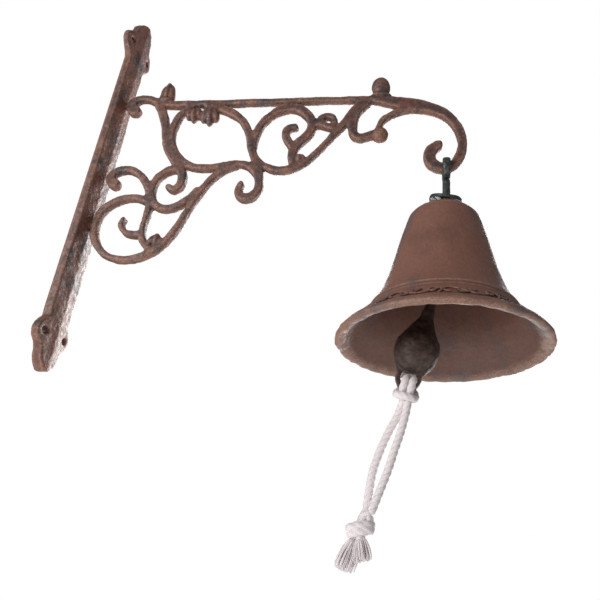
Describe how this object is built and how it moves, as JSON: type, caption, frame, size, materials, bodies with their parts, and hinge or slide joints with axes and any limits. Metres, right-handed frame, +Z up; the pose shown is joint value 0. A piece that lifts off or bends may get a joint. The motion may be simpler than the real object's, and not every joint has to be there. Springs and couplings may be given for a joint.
{
  "type": "wall mounted bell",
  "caption": "Cast-iron scrollwork wall bracket with a hook, a flared bell hung on an eye bolt, and a clapper rung by a doubled cotton cord.",
  "frame": {"origin": "centre of the wall plate's back face", "axes": "+X straight out from the wall along the arm, +Z up along the wall plate, +Y across the plate"},
  "size_m": [0.2608, 0.11, 0.3444],
  "materials": {
    "painted_casting": "thin satin rust-brown paint with dark patches in the hollows",
    "bell_casting": "thin satin rust-brown paint, worn paler at the lip",
    "dark_steel": "dark green-black paint over steel",
    "clapper_iron": "bare dark brown-grey iron",
    "cotton_cord": "laid white cotton cord"
  },
  "bodies": {
    "bracket": {"wall_plate": "painted_casting", "scroll_arm": "painted_casting", "hook_bar": "painted_casting"},
    "hanger": {"eye_bolt": "dark_steel", "crown_washer": "dark_steel", "inner_washer": "dark_steel", "clamp_nut": "dark_steel", "eye_nut": "clapper_iron"},
    "bell": {"bell_shell": "bell_casting"},
    "link": {"clapper_link": "clapper_iron"},
    "clapper": {"clapper": "clapper_iron", "cord_hitch": "cotton_cord", "cord_strand_left": "cotton_cord", "cord_strand_right": "cotton_cord", "cord_knot": "cotton_cord", "cord_end_left": "cotton_cord", "cord_end_right": "cotton_cord"}
  },
  "joints": [
    {"name": "bell_swing", "type": "hinge", "parent": "bracket", "child": "hanger", "pos_m": [0.2116, 0, -0.0016], "axis": [1, 0, 0], "range_deg": [-40, 40]},
    {"name": "bell_turn", "type": "hinge", "parent": "hanger", "child": "bell", "pos_m": [0.2116, 0, -0.0016], "axis": [0.0384, 0, 0.9993], "continuous": true},
    {"name": "link_swing", "type": "hinge", "parent": "hanger", "child": "link", "pos_m": [0.20929, 0, -0.06166], "axis": [0, 1, 0], "range_deg": [-41, 11]},
    {"name": "clapper_swing", "type": "hinge", "parent": "link", "child": "clapper", "pos_m": [0.20675, 0, -0.06987], "axis": [0.9553, 0, -0.2957], "range_deg": [-14, 14]}
  ]
}
